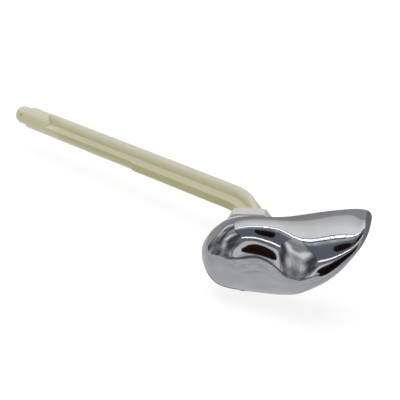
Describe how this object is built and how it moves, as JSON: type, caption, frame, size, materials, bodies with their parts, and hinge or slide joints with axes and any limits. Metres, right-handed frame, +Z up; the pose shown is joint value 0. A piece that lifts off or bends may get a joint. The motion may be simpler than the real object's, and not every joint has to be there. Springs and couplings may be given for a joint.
{
  "type": "cistern lever",
  "caption": "Cistern lever: plated comma-shaped handle on a spindle that turns in a threaded bush clamped through the tank wall and lifts a long angled arm.",
  "frame": {"origin": "on the spindle's axis, in the plane of the tank's outer face, which is the back of the bush's flange", "axes": "+Y along the spindle into the tank, +X towards the handle's tip, +Z up"},
  "size_m": [0.2144, 0.142, 0.0509],
  "materials": {
    "plated_plastic": "mirror plate",
    "cream_plastic": "satin",
    "white_plastic": "satin",
    "screw_steel": "satin"
  },
  "bodies": {
    "mount": {"bushing": "white_plastic"},
    "lever": {"handle": "plated_plastic", "arm": "cream_plastic", "set_screw": "screw_steel"},
    "nut": {"mounting_nut": "white_plastic"}
  },
  "joints": [
    {"name": "lever_turn", "type": "hinge", "parent": "mount", "child": "lever", "pos_m": [0, 0, 0], "axis": [0, 1, 0], "range_deg": [0, 25]},
    {"name": "nut_travel", "type": "slide", "parent": "mount", "child": "nut", "axis": [0, 1, 0], "range_m": [-0.0052, 0.0033]}
  ]
}
